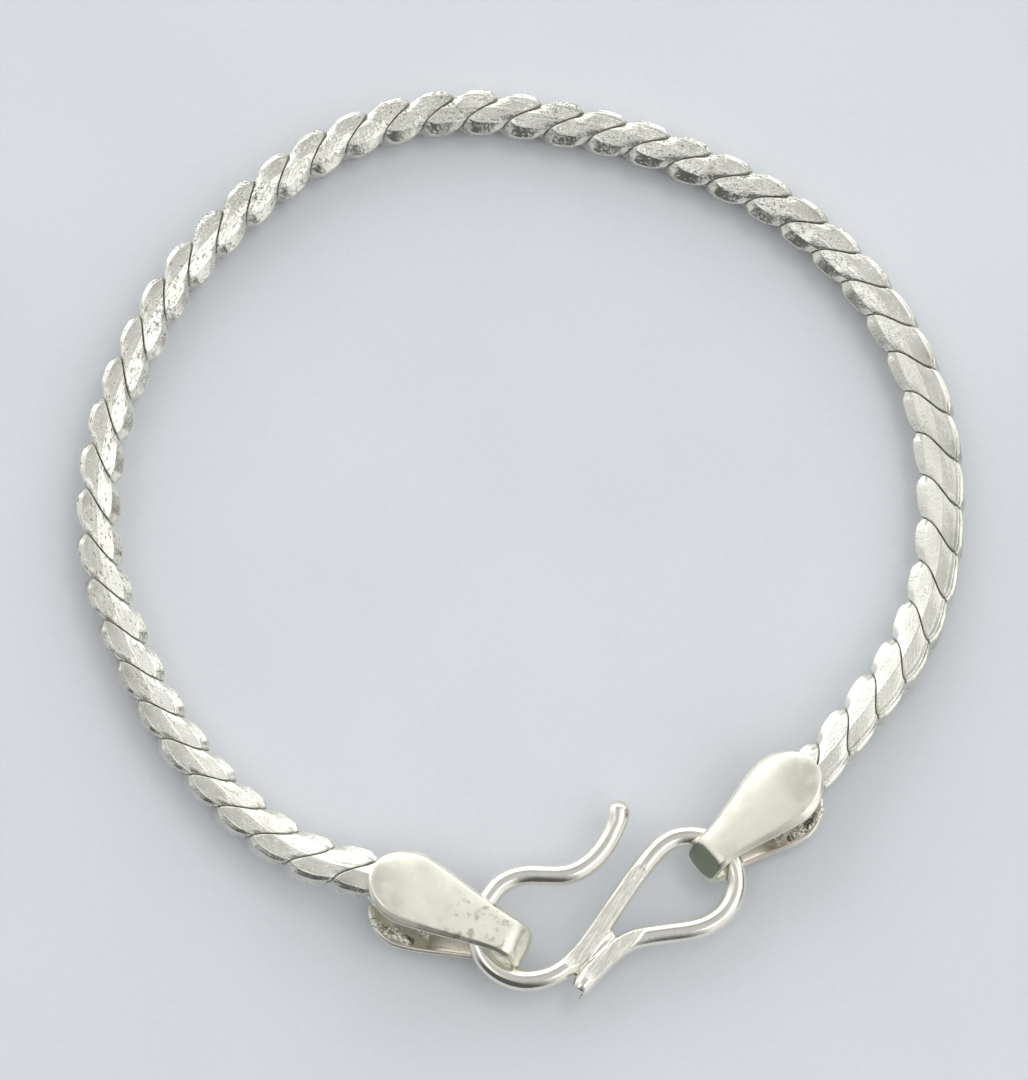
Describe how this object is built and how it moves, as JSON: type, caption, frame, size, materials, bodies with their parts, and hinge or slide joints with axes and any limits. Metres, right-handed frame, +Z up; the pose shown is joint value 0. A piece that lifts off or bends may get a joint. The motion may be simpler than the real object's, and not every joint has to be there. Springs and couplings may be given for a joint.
{
  "type": "braided bracelet",
  "caption": "Silver bracelet of two strands twisted tight and rolled to a bar with bevelled corners, lying in its loop, with folded sheet end caps joined by an S-hook.",
  "frame": {"origin": "centre of the outline's box seen from above, on the surface the bracelet lies on", "axes": "+Z up from the surface; -Y towards the clasp and the viewer of the picture; +X to the right along the clasp, from the cap the hook is soldered round to the cap it unhooks from"},
  "size_m": [0.067, 0.0688, 0.0055],
  "materials": {
    "rolled_silver": "rolled, semi-bright with fine lines and dark grooves",
    "satin_silver": "satin, slightly warm, stained at the necks",
    "wire_silver": "bright, filed flat by the joint"
  },
  "bodies": {
    "root": {"strand_1": "rolled_silver", "strand_2": "rolled_silver", "end_cap_left": "satin_silver", "end_cap_right": "satin_silver", "s_hook": "wire_silver"}
  },
  "joints": []
}
